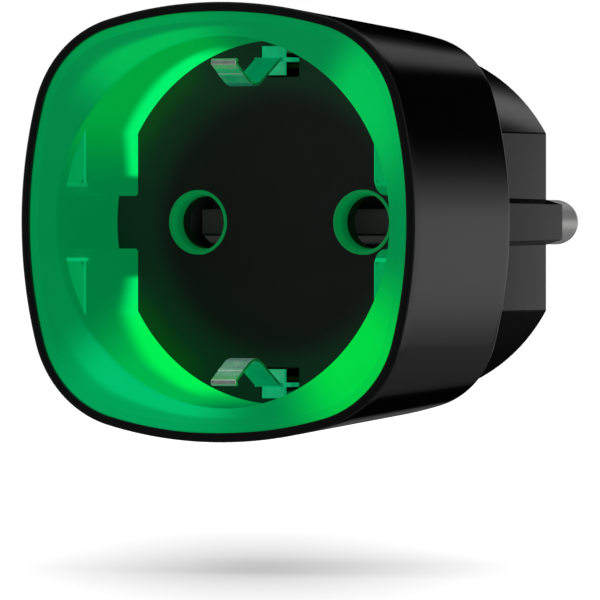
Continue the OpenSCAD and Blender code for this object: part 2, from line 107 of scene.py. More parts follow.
# Pins
PIN_X = (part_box("live_pin")[0].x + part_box("live_pin")[1].x) / 2 / MM
PIN_R = 2.4
PIN_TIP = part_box("live_pin")[1].y / MM - FRONT_Y
PIN_SHOULDER_R = 2.7
PIN_FLANGE_R = 3.2
PIN_FLANGE_T = 1.2
PIN_TAIL_R = 1.2
PIN_TAIL_START = 40.4
PIN_GAP = 0.02
# Earth leaves: [depth, z] of the bends and their radii, and the band pressed across
LEAF_CORNERS = ((13.0, 16.8), (12.2, 16.8), (6.35, 13.7), (2.1, 16.18))
LEAF_BENDS = (1.2, 3.0)
LEAF_HALF_W = 1.43
LEAF_T = 0.36
LEAF_BEVEL = 0.05
BEAD_H = 0.05
BAND_SHARES = (0.29, 0.48)
ROLL_R = 0.2
# Shutter spring
SPRING_SEAT = (0, 23.2, -8.3)
SPRING_TILT = math.radians(30)
SPRING_LENGTH = 6.5
SPRING_TURNS = 5
COIL_R = 1.15
WIRE_R = 0.15
# Bevel on the CAD nodes that stay
NODE_BEVEL = 0.06


def srgb(r, g, b):
    """Linear colour of a display colour given from 0 to 255."""
    def one(v):
        v /= 255
        return v / 12.92 if v <= 0.04045 else ((v + 0.055) / 1.055) ** 2.4
    return (one(r), one(g), one(b), 1.0)


def between(pair, t):
    return pair[0] + (pair[1] - pair[0]) * t


def at(x, depth, z):
    """Point in metres from a depth counted back from the front rim."""
    return Vector((x, FRONT_Y + depth, z)) * MM


# ---------------------------------------------------------------- outlines

def rounded_square_polar(phi, half, side_r, corner_r):
    """Radius, at an angle, of the square made of four side arcs and four tangent corner arcs."""
    q = (half - side_r) / (side_r - corner_r)
    meet = math.pi / 4 + math.asin(q / math.sqrt(2))
    c = (side_r - corner_r) * math.sin(meet)
    e = half - side_r
    a = abs((phi + math.pi / 4) % (math.pi / 2) - math.pi / 4)
    limit = math.atan2(side_r * math.sin(meet), e + side_r * math.cos(meet))
    if a <= limit:
        return e * math.cos(a) + math.sqrt(side_r ** 2 - (e * math.sin(a)) ** 2)
    s, d = math.cos(a) + math.sin(a), math.cos(a) - math.sin(a)
    return c * s + math.sqrt(corner_r ** 2 - (c * d) ** 2)


def housing_radius(phi, depth, inset):
    t = depth / SHELL_DEPTH
    half = between((FRONT_HALF, REAR_HALF), t) - inset
    corner = between((FRONT_CORNER_R, REAR_CORNER_R), t) - inset
    return rounded_square_polar(phi, half, SIDE_ARC_R - inset, corner)


def polar_ring(depth, angles, radius):
    return [at(radius(a) * math.cos(a), depth, radius(a) * math.sin(a)) for a in angles]


def flattened(angle, r, flat):
    """Radius of a circle with a flat cut on each side."""
    return min(r, flat / max(1e-6, abs(math.cos(angle))))


def spread_angles(count):
    return [2 * math.pi * i / count for i in range(count)]


def eased(depth, r):
    """How far an edge rounded by r stands back, at a depth behind the ribs' front faces."""
    t = min(1.0, max(0.0, (depth - RIB_START) / r))
    return r * (1 - math.sqrt(1 - (1 - t) ** 2))


def recess_r(depth):
    t = min(1.0, max(0.0, (depth - FUNNEL_END) / (FLOOR_DEPTH - FUNNEL_END)))
    return between((RECESS_R, RECESS_BACK_R), t)


def recess_quadrant(depth, ribs=True):
    """[x, z] points of the recess from the middle of the notch to the top, always the same number.

    The corner between notch and rib has a radius of 1.1 in front, which falls to 0.35 further in.
    """
    big = recess_r(depth)
    r = 0.35 + 0.75 * math.exp((RIB_START - max(depth, RIB_START)) / 1.6)
    notch = NOTCH_Z + eased(depth, NOTCH_ROUND)
    chord = CHORD_X + eased(depth, RIB_ROUND)
    notch_meet = math.asin(notch / big)
    points = [(big * math.cos(a), big * math.sin(a))
              for a in (notch_meet * i / 5 for i in range(5))]
    end_x = big * math.cos(notch_meet)
    points += [(end_x + (chord + r - end_x) * i / 3, notch) for i in range(3)]
    for i in range(9):
        a = math.radians(270 - 90 * i / 8)
        points.append((chord + r + r * math.cos(a), notch + r + r * math.sin(a)))
    top = math.acos(chord / big)
    z0, z1 = notch + r, big * math.sin(top)
    points += [(chord, z0 + (z1 - z0) * i / 9) for i in range(1, 9)]
    if not ribs:
        points = [tuple(Vector(p).normalized() * big) for p in points]
    points += [(big * math.cos(a), big * math.sin(a))
               for a in (top + (math.pi / 2 - top) * i / 34 for i in range(34))]
    return points


def four_quadrants(quadrant, last):
    """Closed outline from one quadrant's points; last is the point on the vertical axis."""
    up = quadrant + [last]
    left = [(-x, z) for x, z in reversed(quadrant)]
    half = up + left
    return half + [(x, -z) for x, z in reversed(half[1:-1])]


def recess_ring(depth, ribs=True):
    return four_quadrants(recess_quadrant(depth, ribs), (0.0, recess_r(depth)))


def plug_ring(depth, inset=0.0, slot=False, ribs=True):
    """[x, z] outline of the plug body with its guide ribs and, if asked, its two earth slots."""
    r, flat = PLUG_R - inset, PLUG_FLAT - inset
    t = max(0.0, (depth - SHELL_DEPTH) / (REAR_FACE - SHELL_DEPTH))
    out = (RIB_OUT - inset) if ribs else flat
    rib_top = between(RIB_TOP_HALF, t) - inset
    rib_root = between(RIB_ROOT_HALF, t) - inset * 0.6
    edge_w = SLOT_HALF_W + inset * 0.6
    edge = math.acos(edge_w / r)
    q = [(out, 0.0), (out, rib_top), (flat, rib_root)]
    small = max(0.05, PLUG_CORNER_R - inset)
    mid_z = math.sqrt((r - small) ** 2 - (flat - small) ** 2)
    turn = math.atan2(mid_z, flat - small)
    q += [(flat, rib_root + (mid_z - 0.06 - rib_root) * i / 4) for i in range(1, 5)]
    q += [(flat - small + small * math.cos(a), mid_z + small * math.sin(a))
          for a in (turn * i / 5 for i in range(6))]
    arc_start = turn + 0.004
    q += [(r * math.cos(a), r * math.sin(a))
          for a in (between((arc_start, edge), i / 26) for i in range(27))]
    if slot:
        slot_z = SLOT_Z - inset / 2
        q += [(edge_w, slot_z)]
        return four_quadrants(q, (0.0, slot_z))
    cap_x = SLOT_HALF_W * 0.48
    q += [(cap_x, math.sqrt(r * r - cap_x ** 2))]
    return four_quadrants(q, (0.0, r))


# ---------------------------------------------------------------- mesh making

SMOOTH_DEG = 35
# Metres
MERGE_DISTANCE = 1e-7
FLAT_DISTANCE = 1e-8


def make_object(name, verts, faces, smooth_deg):
    mesh = bpy.data.meshes.new(name)
    mesh.from_pydata([tuple(v) for v in verts], [], faces)
    mesh.validate()
    obj = bpy.data.objects.new(name, mesh)
    bpy.context.scene.collection.objects.link(obj)
    clean(obj, smooth_deg)
    return obj


def clean(obj, smooth_deg=SMOOTH_DEG):
    """Merges doubles, makes the normals point out and shades smooth except at sharp edges."""
    bm = bmesh.new()
    bm.from_mesh(obj.data)
    bmesh.ops.remove_doubles(bm, verts=bm.verts, dist=MERGE_DISTANCE)
    bmesh.ops.dissolve_degenerate(bm, edges=bm.edges, dist=FLAT_DISTANCE)
    bmesh.ops.recalc_face_normals(bm, faces=bm.faces)
    bm.to_mesh(obj.data)
    bm.free()
    obj.data.shade_smooth()
    obj.data.set_sharp_from_angle(angle=math.radians(smooth_deg))


def loft(name, rings, loop=False, smooth_deg=SMOOTH_DEG):
    """Skin over rings of equally many points; loop joins the last ring to the first."""
    n = len(rings[0])
    verts = [p for ring in rings for p in ring]
    faces = []
    count = len(rings)
    for j in range(count if loop else count - 1):
        a, b = j * n, ((j + 1) % count) * n
        for i in range(n):
            k = (i + 1) % n
            faces.append((a + i, a + k, b + k, b + i))
    if not loop:
        faces.append(tuple(range(n)))
        faces.append(tuple(range((count - 1) * n, count * n)))
    return make_object(name, verts, faces, smooth_deg)


def revolve(name, x, z, profile, loop=False, sides=96):
    """Turns a [radius, depth] profile about an axis that runs backwards through (x, z)."""
    rings = [[at(x + r * math.cos(a), d, z + r * math.sin(a)) for a in spread_angles(sides)]
             for r, d in profile]
    return loft(name, rings, loop)


def ring_angles(outline):
    return [math.atan2(z, x) % (2 * math.pi) for x, z in outline]


def flat_ring(outline, depth):
    return [at(x, depth, z) for x, z in outline]


def boolean(obj, other, operation):
    """Applies one exact boolean and removes the tool."""
    modifier = obj.modifiers.new("tool", "BOOLEAN")
    modifier.operation = operation
    modifier.solver = "EXACT"
    modifier.object = other
    bpy.context.view_layer.update()
    graph = bpy.context.evaluated_depsgraph_get()
    result = bpy.data.meshes.new_from_object(obj.evaluated_get(graph))
    obj.modifiers.clear()
    old = obj.data
    obj.data = result
    bpy.data.meshes.remove(old)
    bpy.data.objects.remove(other)


def rod(x, z, start, stop, r, sides):
    return revolve("tool", x, z, [(r, start), (r, stop)], sides=sides)


# ---------------------------------------------------------------- materials

class Nodes:
    """Short names for adding nodes to a tree."""

    def __init__(self, tree):
        self.tree = tree

    def new(self, kind):
        return self.tree.nodes.new("ShaderNode" + kind)

    def link(self, a, b):
        self.tree.links.new(a, b)

    def feed(self, socket, value):
        if isinstance(value, bpy.types.NodeSocket):
            self.link(value, socket)
        else:
            socket.default_value = value

    def math(self, operation, a, b=0.0, c=0.0):
        n = self.new("Math")
        n.operation = operation
        for socket, value in zip(n.inputs, (a, b, c)):
            self.feed(socket, value)
        return n.outputs[0]

    def plus(self, a, b):
        return self.math("ADD", a, b)

    def minus(self, a, b):
        return self.math("SUBTRACT", a, b)

    def times(self, a, b):
        return self.math("MULTIPLY", a, b)

    def size(self, a):
        return self.math("ABSOLUTE", a)

    def ramp(self, value, low, high, to_low=0.0, to_high=1.0, curve="SMOOTHERSTEP"):
        """Step of a value between low and high, held beyond them."""
        n = self.new("MapRange")
        n.interpolation_type = curve
        for socket, v in zip(n.inputs, (value, low, high, to_low, to_high)):
            self.feed(socket, v)
        return n.outputs[0]

    def window(self, value, low, rise, fall, high):
        """One between rise and fall, falling smoothly to zero at low and at high."""
        return self.times(self.ramp(value, low, rise), self.ramp(value, high, fall))

    def degrees(self, along_z, along_x):
        return self.times(self.math("ARCTAN2", along_z, along_x), 180 / math.pi)

    def radius(self, a, b):
        return self.math("SQRT", self.plus(self.times(a, a), self.times(b, b)))

    def mix(self, factor, a, b):
        n = self.new("Mix")
        n.data_type = "RGBA"
        self.feed(n.inputs[0], factor)
        self.feed(n.inputs[6], a)
        self.feed(n.inputs[7], b)
        return n.outputs[2]

    def split(self, vector):
        n = self.new("SeparateXYZ")
        self.link(vector, n.inputs[0])
        return n.outputs[0], n.outputs[1], n.outputs[2]


class Paint(Nodes):
    """A node material written in millimetres of the object's own frame."""

    def __init__(self, name):
        self.name = name
        self.material = bpy.data.materials.new(name)
        self.material.use_nodes = True
        super().__init__(self.material.node_tree)
        self.shader = self.tree.nodes["Principled BSDF"]
        self.mm = self.scaled(self.new("TexCoord").outputs["Object"], (1 / MM, 1 / MM, 1 / MM))

    def scaled(self, vector, scale):
        n = self.new("Mapping")
        n.inputs["Scale"].default_value = scale
        self.link(vector, n.inputs["Vector"])
        return n.outputs["Vector"]

    def axes(self):
        """X, the depth behind the front rim, and Z."""
        x, y, z = self.split(self.mm)
        return x, self.minus(y, FRONT_Y), z

    def noise(self, per_mm, detail=3.0, stretch=None, roughness=0.5):
        n = self.new("TexNoise")
        n.inputs["Scale"].default_value = per_mm
        n.inputs["Detail"].default_value = detail
        n.inputs["Roughness"].default_value = roughness
        self.link(self.scaled(self.mm, stretch) if stretch else self.mm, n.inputs["Vector"])
        return n.outputs["Fac"]

    def wave(self, per_mm, direction):
        n = self.new("TexWave")
        n.bands_direction = direction
        n.inputs["Scale"].default_value = per_mm
        self.link(self.mm, n.inputs["Vector"])
        return n.outputs["Fac"]

    def bump(self, height, distance_mm, strength):
        n = self.new("Bump")
        n.inputs["Distance"].default_value = distance_mm * MM
        n.inputs["Strength"].default_value = strength
        self.link(height, n.inputs["Height"])
        self.link(n.outputs["Normal"], self.shader.inputs["Normal"])

    def set(self, **sockets):
        for name, value in sockets.items():
            self.feed(self.shader.inputs[name.replace("_", " ")], value)


def toned(colour, factor):
    return tuple(min(1.0, v * factor) for v in colour[:3]) + (1.0,)


def plastic(name, colour, rough, grain=3.0, depth=0.012, tone=0.12, patch=0.25, **sockets):
    """Moulded plastic: slow tone changes, a fine grain and slightly uneven gloss."""
    p = Paint(name)
    slow = p.noise(patch, 4.0)
    fine = p.noise(grain, 4.0, roughness=0.6)
    p.set(Base_Color=p.mix(slow, toned(colour, 1 - tone), toned(colour, 1 + tone)), IOR=1.5)
    p.set(Roughness=p.ramp(p.noise(patch * 3, 5.0), 0.25, 0.75, rough * 0.88, rough * 1.12))
    p.bump(fine, depth, 0.5)
    p.set(**sockets)
    return p


def metal(name, colour, rough, depth=0.006, tone=0.08, wear=1.0, **sockets):
    """Drawn or stamped metal: lengthwise brushing, a little tarnish and small dull marks."""
    p = Paint(name)
    brush = p.noise(6.0, 4.0, (1, 0.06, 1))
    tarnish = p.noise(0.5, 5.0)
    marks = p.noise(1.7, 5.0, (1, 0.3, 1))
    p.set(Base_Color=p.mix(tarnish, toned(colour, 1 - tone * 2), toned(colour, 1 + tone)))
    p.set(Roughness=p.ramp(marks, 0.3, 0.8, rough * (1 - 0.2 * wear), rough * (1 + 0.35 * wear)))
    p.set(Metallic=1.0)
    p.bump(brush, depth, 0.35)
    p.set(**sockets)
    return p


def lit_metal(name, colour, rough):
    """Plated strip inside the recess: satin metal with the glow it would pick up painted on as
    emission (painted reflection), greener further in.
    """
    p = metal(name, colour, rough, depth=0.004)
    x, depth, z = p.axes()
    # Painted light: the glow as green emission, greyer where the front and top lamps would light
    # the roll and the lower leaf's front run
    near = p.mix(p.ramp(z, 3.0, -3.0), GREEN["leaf_front"], GREEN["leaf_front_low"])
    glow = p.mix(p.ramp(depth, 2.45, 2.75), GREEN["leaf_roll"], near)
    glow = p.mix(p.ramp(depth, 5.6, 7.2), glow, GREEN["leaf_back"])
    glow = p.mix(p.ramp(depth, 12.8, 13.2), glow, GREEN["tab"])
    glow = p.mix(p.ramp(depth, 14.9, 15.6), glow, UNLIT)
    # Painted shade: less glow on the leaf's cut edges
    shaded_edge = p.ramp(p.size(x), LEAF_HALF_W - 0.04, LEAF_HALF_W - 0.01)
    shaded_edge = p.times(shaded_edge, p.ramp(depth, 12.6, 12.4))
    glow = p.mix(shaded_edge, glow, GREEN["leaf_edge_shade"])
    uneven = p.ramp(p.noise(0.8, 3.0), 0.2, 0.8, 0.75, 1.1)
    p.set(Emission_Color=p.mix(uneven, UNLIT, glow), Emission_Strength=EMISSION["painted_pickup"])
    return p


def shutter_paint():
    """Dark shutter whose nose has painted light for what comes through the pin holes: a faint glow
    on its flat face and a lighter painted highlight on the slope below.
    """
    p = plastic("shutter_grey", srgb(50, 50, 52), 0.5, grain=4.0)
    z = p.axes()[2]
    # Painted light: a faint glow on the flat face, a lighter painted highlight on the slope below
    # it
    face = p.mix(p.window(z, -1.22, -1.12, 1.05, 1.15), UNLIT, srgb(11, 9, 10))
    face = p.mix(p.window(z, -2.5, -1.8, -1.5, -1.35), face, srgb(40, 42, 40))
    p.set(Emission_Color=face, Emission_Strength=EMISSION["painted_pickup"])
    return p


def wound(name, colour, rough, per_mm, direction):
    """Enamelled wire wound in close turns."""
    p = Paint(name)
    turns_and_groove_shade = p.wave(per_mm, direction)
    # Painted shade: base colour darker between the turns, in the grooves that the bump also follows
    p.set(Base_Color=p.mix(turns_and_groove_shade, toned(colour, 0.55), toned(colour, 1.1)), Metallic=0.9)
    p.set(Roughness=p.ramp(p.noise(1.0), 0.2, 0.8, rough * 0.8, rough * 1.2))
    p.set(Coat_Weight=0.4, Coat_Roughness=0.2)
    p.bump(turns_and_groove_shade, 0.08, 0.8)
    return p


def board(name, colour, track):
    """Circuit board: solder mask over faint copper tracks and pads, with the laminate's weave."""
    p = Paint(name)
    cells = p.new("TexVoronoi")
    cells.distance = "CHEBYCHEV"
    cells.feature = "DISTANCE_TO_EDGE"
    cells.inputs["Scale"].default_value = 0.55
    p.link(p.mm, cells.inputs["Vector"])
    tracks = p.ramp(cells.outputs["Distance"], 0.05, 0.09, 1.0, 0.0)
    weave = p.times(p.wave(2.2, "X"), p.wave(2.2, "Z"))
    mask = p.mix(p.noise(0.4), toned(colour, 0.85), toned(colour, 1.15))
    p.set(Base_Color=p.mix(tracks, mask, track))
    p.set(Roughness=p.ramp(p.noise(0.8), 0.2, 0.8, 0.3, 0.42), Coat_Weight=0.3, Coat_Roughness=0.15)
    p.bump(p.plus(tracks, p.times(weave, 0.3)), 0.02, 0.6)
    return p


def acrylic(p, smoothest, roughest):
    """Finish of the diffuser's plastic: uneven gloss and a faint ripple."""
    p.set(Roughness=p.ramp(p.noise(1.1, 4.0), 0.25, 0.75, smoothest, roughest), IOR=1.49)
    p.bump(p.noise(4.0, 3.0), 0.008, 0.3)


def light_guide_paint():
    """Milky green diffuser, lit from behind by four lamps: its glow follows angle and depth."""
    p = Paint("light_guide_green")
    x, depth, z = p.axes()
    wide, high = p.size(x), p.size(z)
    below = p.ramp(z, 1.0, -1.0)
    turn = p.degrees(z, x)

    def halves(upper, lower):
        """A number that differs between the upper and the lower half."""
        return p.ramp(below, 0, 1, upper, lower)

    # Funnel: four soft patches that fade towards the lip, least on the right-hand side
    share = p.ramp(depth, LIP_DEPTH + 0.1, FUNNEL_END)
    funnel, lip = GREEN["funnel"], GREEN["lip"]
    for start, peak_start, peak_end, end, colour, at_lip in FUNNEL_PATCHES:
        patch = p.window(turn, start, peak_start, peak_end, end)
        funnel = p.mix(p.times(patch, p.ramp(share, 0.0, 0.6, at_lip, 1.0)), funnel, colour)
        lip = p.mix(p.times(patch, max(0.3, at_lip * 0.85)), lip, colour)
    front = p.mix(p.ramp(depth, LIP_DEPTH + 0.04, LIP_DEPTH + 0.09), lip, funnel)
    # Recess wall: the angle runs from 90 at top or bottom to 180 at the notches, where it is dull
    side = p.degrees(high, p.times(wide, -1.0))
    narrow = p.times(depth, 1.2)
    upper = p.mix(p.window(side, p.plus(narrow, 80), p.plus(narrow, 102), 138, 172),
                  GREEN["wall_side"], GREEN["wall_upper"])
    lower = p.mix(p.window(side, 90, 112, p.plus(narrow, 118), p.plus(narrow, 150)),
                  GREEN["wall_side"], GREEN["wall_lower"])
    wall = p.mix(below, upper, lower)
    # A bright band next to the floor, narrower towards the notches
    beyond = p.math("MAXIMUM", p.minus(side, halves(126, 129)), 0.0)
    middle = p.plus(halves(10.1, 8.6), p.times(beyond, halves(0.06, 0.14)))
    band = p.ramp(depth, p.minus(middle, halves(1.5, 2.9)), p.plus(middle, halves(2.3, 3.0)))
    band = p.times(band, p.ramp(side, 102, 119))
    band_end = halves(4.35, 5.25)
    band = p.times(band, p.ramp(high, band_end, p.plus(band_end, 0.9)))
    tint = p.times(below, p.ramp(side, 158, 140))
    wall = p.mix(band, wall, p.mix(tint, GREEN["band_upper"], GREEN["band_lower"]))
    soft = p.ramp(high, 7.0, 15.0, 0.5, 1.8)
    glow = p.mix(p.ramp(depth, FUNNEL_END - 0.02, p.plus(soft, FUNNEL_END)), front, wall)
    # Ribs: lighter front faces, and a painted highlight line along the notch's rounded edge and one
    # along the rib's
    rib = p.times(p.ramp(wide, CHORD_X - 0.05, CHORD_X + 0.05),
                  p.ramp(high, NOTCH_Z + 0.05, NOTCH_Z + 0.2))
    rib_face = p.times(p.math("COMPARE", depth, RIB_START, 0.012), rib)
    glow = p.mix(rib_face, glow, GREEN["rib_face"])
    crease_highlight = p.window(high, NOTCH_Z + 0.8, NOTCH_Z + 1.0, NOTCH_Z + 1.2, NOTCH_Z + 1.35)
    crease_highlight = p.times(crease_highlight, halves(0.35, 1.0))
    crease_highlight = p.times(crease_highlight, p.window(depth, RIB_START - 0.05, RIB_START - 0.01, RIB_START + 0.3,
                                      RIB_START + NOTCH_ROUND))
    glow = p.mix(p.times(crease_highlight, rib), glow, GREEN["crease_highlight"])
    # Painted highlight line along the rib's rounded edge
    edge = p.window(wide, CHORD_X - 0.01, CHORD_X + 0.07, CHORD_X + 0.17, CHORD_X + 0.27)
    edge = p.times(edge, p.window(depth, RIB_START - 0.06, RIB_START - 0.02, RIB_START + 0.1,
                                  RIB_START + 0.3))
    edge = p.times(edge, p.ramp(high, 3.6, 4.2))
    glow = p.mix(p.times(edge, 0.7), glow, GREEN["crease_highlight"])
    p.set(Emission_Color=glow, Emission_Strength=EMISSION["guide"])
    p.set(Base_Color=p.mix(p.noise(0.35, 3.0), srgb(0, 64, 34), srgb(0, 78, 42)))
    p.set(Specular_IOR_Level=0.02)
    acrylic(p, 0.42, 0.54)
    return p


def ring_paint():
    """The rings round the pin holes are the same diffuser, lit more faintly."""
    p = Paint("light_ring_green")
    depth = p.axes()[1]
    bore = p.mix(p.ramp(depth, FLOOR_DEPTH + 0.2, RING_END), srgb(2, 122, 60), srgb(0, 94, 44))
    glow = p.mix(p.ramp(depth, FLOOR_DEPTH + 0.05, FLOOR_DEPTH + 0.25), srgb(4, 108, 52), bore)
    p.set(Emission_Color=glow, Emission_Strength=EMISSION["ring"])
    p.set(Base_Color=p.mix(p.noise(0.6, 3.0), srgb(0, 96, 50), srgb(0, 112, 58)))
    p.set(Specular_IOR_Level=0.15)
    acrylic(p, 0.34, 0.46)
    return p


def floor_paint():
    """Matt black floor with painted light: green emission where it would pick up green near the lit
    walls and inside the pin-hole tubes.
    """
    p = Paint("socket_floor_black")
    x, depth, z = p.axes()
    radius = p.radius(x, z)
    turn = p.degrees(p.size(z), p.size(x))
    base = srgb(31, 23, 29)
    p.set(Base_Color=p.mix(p.noise(0.3, 4.0), toned(base, 0.9), toned(base, 1.1)))
    p.set(Roughness=p.ramp(p.noise(0.9, 5.0), 0.25, 0.75, 0.5, 0.62), Specular_IOR_Level=0.2)
    # Painted light, brighter in the corners next to the walls and faint inside the tubes
    corner = p.times(p.ramp(radius, 15.5, 18.9), p.window(turn, 18, 34, 50, 66))
    glow = p.mix(p.ramp(radius, 11.6, 16.0), UNLIT, p.mix(corner, srgb(0, 33, 15), srgb(0, 58, 8)))
    glow = p.mix(p.ramp(depth, FLOOR_DEPTH + 1.6, FLOOR_DEPTH + 2.4), glow, srgb(0, 13, 3))
    p.set(Emission_Color=glow, Emission_Strength=EMISSION["floor"])
    p.bump(p.noise(5.0, 4.0, roughness=0.6), 0.012, 0.5)
    return p


EMISSION = {"guide": 0.9, "ring": 0.8, "floor": 0.9, "painted_pickup": 1.0}
UNLIT = (0.0, 0.0, 0.0, 1.0)
GREEN = {
    "lip": srgb(0, 132, 67),
    "funnel": srgb(0, 128, 65),
    "wall_side": srgb(0, 124, 62),
    "wall_upper": srgb(0, 167, 58),
    "wall_lower": srgb(0, 183, 76),
    "band_upper": srgb(2, 250, 112),
    "band_lower": srgb(0, 252, 86),
    "rib_face": srgb(0, 154, 78),
    "crease_highlight": srgb(6, 186, 108),
    "leaf_roll": srgb(62, 84, 74),
    "leaf_front": srgb(6, 86, 70),
    "leaf_front_low": srgb(84, 106, 106),
    "leaf_back": srgb(0, 92, 62),
    "leaf_edge_shade": srgb(0, 44, 24),
    "tab": srgb(2, 153, 98),
}
# Each patch: the angles where it starts, peaks from and to, and ends, its colour, and its
# strength at the lip
FUNNEL_PATCHES = (
    (74, 110, 121, 150, srgb(0, 187, 82), 0.12),
    (-153, -128, -106, -72, srgb(0, 192, 110), 0.42),
    (-76, -46, -40, -4, srgb(0, 220, 62), 0.95),
    (-4, 38, 41, 57, srgb(0, 192, 82), 0.95),
)

NICKEL = srgb(205, 205, 200)
PAINTS = {paint.name: paint for paint in (
    plastic("gloss_black", srgb(4, 4, 5), 0.08, grain=5.0, depth=0.003, tone=0.1, patch=0.1),
    light_guide_paint(),
    ring_paint(),
    floor_paint(),
    plastic("rim_black", srgb(8, 9, 9), 0.5, grain=5.0, depth=0.008, Specular_IOR_Level=0.12),
    plastic("matt_black", srgb(9, 9, 10), 0.17, grain=4.0, depth=0.006, Specular_IOR_Level=0.24),
    # Lit and shaded copies of matt_black for the plug body's round faces: more gloss and a coat on
    # the upper arc as a painted sheen, darker with almost no gloss on the lower arc as painted
    # shade
    plastic("upper_arc_lit_black", srgb(9, 9, 10), 0.14, grain=4.0, depth=0.006, Specular_IOR_Level=1.0,
            Coat_Weight=1.0, Coat_Roughness=0.12),
    plastic("lower_arc_shaded_black", srgb(7, 7, 8), 0.3, grain=4.0, depth=0.006, Specular_IOR_Level=0.02),
    plastic("dark_grey_plastic", srgb(70, 70, 72), 0.5, grain=4.0),
    metal("spring_steel", srgb(200, 202, 205), 0.28),
    metal("nickel_silver", NICKEL, 0.24),
    lit_metal("lit_nickel", NICKEL, 0.4),
    lit_metal("lit_strip", srgb(128, 142, 135), 0.45),
    metal("pin_nickel", srgb(206, 206, 205), 0.3, depth=0.0006, tone=0.02, wear=0.3, Metallic=0.75),
    shutter_paint(),
    metal("brass", srgb(214, 178, 104), 0.3),
    wound("copper_winding", srgb(205, 110, 58), 0.35, 2.6, "Y"),
    board("board_green", srgb(18, 92, 48), srgb(34, 128, 66)),
    board("board_blue", srgb(14, 52, 96), srgb(26, 84, 140)),
    board("board_white", srgb(226, 226, 222), srgb(206, 208, 204)),
    plastic("chip_black", srgb(38, 38, 40), 0.55, grain=7.0, depth=0.01),
    plastic("bobbin_cream", srgb(222, 214, 190), 0.45),
    metal("soft_iron", srgb(176, 177, 180), 0.38),
    plastic("ferrite", srgb(72, 72, 74), 0.7, grain=6.0, depth=0.03),
    plastic("film_yellow", srgb(206, 182, 70), 0.35),
    plastic("capacitor_sleeve", srgb(30, 32, 60), 0.28, depth=0.006),
    plastic("varistor_blue", srgb(36, 92, 160), 0.3, grain=1.5, depth=0.03),
    plastic("fuse_body", srgb(150, 196, 164), 0.4),
    metal("shunt_alloy", srgb(190, 140, 100), 0.34),
    plastic("led_lens", srgb(220, 235, 205), 0.2,
            Emission_Color=srgb(0, 255, 120), Emission_Strength=1.5),
)}


def coat(obj, *paints):
    """Gives an object its paints; every face starts with the first."""
    obj.data.materials.clear()
    for paint in paints:
        obj.data.materials.append(PAINTS[paint].material)


def dress(obj, slot, *paints):
    coat(obj, *paints)


# ---------------------------------------------------------------- housing

def housing_mesh():
    angles = spread_angles(360)
    # [depth, inset] of the outside, from the rim's inner edge to the rear shoulder
    profile = [(0.05, RIM_W), (0.012, RIM_W - 0.03), (0.0, RIM_W - 0.07), (0.0, RIM_ROUND + 0.02)]
    profile += [(RIM_ROUND - RIM_ROUND * math.sin(a), RIM_ROUND - RIM_ROUND * math.cos(a))
                for a in (math.radians(90 - 90 * i / 8) for i in range(1, 9))]
    profile += [(d, 0.0) for d in (2, 4, 6, 8, 10, 12, 14, 16, 18, 20, 22, 24, 25.5)]
    shoulder = SHELL_DEPTH - SHOULDER_ROUND
    profile += [(shoulder + SHOULDER_ROUND * math.sin(a),
                 SHOULDER_ROUND - SHOULDER_ROUND * math.cos(a))
                for a in (math.radians(90 * i / 8) for i in range(9))]
    rings = [polar_ring(d, angles, lambda a, d=d, i=i: housing_radius(a, d, i)) for d, i in profile]
    # Rear opening round the plug body, then the inside back to the front
    open_r, open_flat = PLUG_R + OPENING_GAP, PLUG_FLAT + OPENING_GAP
    corner = math.acos(open_flat / open_r)
    opening = list(angles)
    for target in (corner, math.pi - corner, math.pi + corner, 2 * math.pi - corner):
        nearest = min(range(len(opening)), key=lambda i: abs(opening[i] - target))
        opening[nearest] = target

    def d_shape(a):
        return flattened(a, open_r, open_flat)

    rings.append(polar_ring(SHELL_DEPTH, opening, lambda a: d_shape(a) + 0.08))
    rings.append(polar_ring(SHELL_DEPTH - 0.08, opening, d_shape))
    rings.append(polar_ring(FLANGE[1], opening, d_shape))
    for d in (FLANGE[1], 18.0, 12.0, 6.0, 1.6):
        rings.append(polar_ring(d, angles, lambda a, d=d: housing_radius(a, d, WALL)))
    rings.append(polar_ring(1.6, angles, lambda a: housing_radius(a, 0, RIM_W)))
    return loft("housing_shell", rings, loop=True)


housing = housing_mesh()
dress(housing, "gloss_black", "gloss_black", "rim_black")
for face in housing.data.polygons:
    if face.center.y / MM - FRONT_Y < 0.2 and face.normal.y < -0.35:
        face.material_index = 1
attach(housing, "housing")
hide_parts("outer_housing")


# ---------------------------------------------------------------- light guide

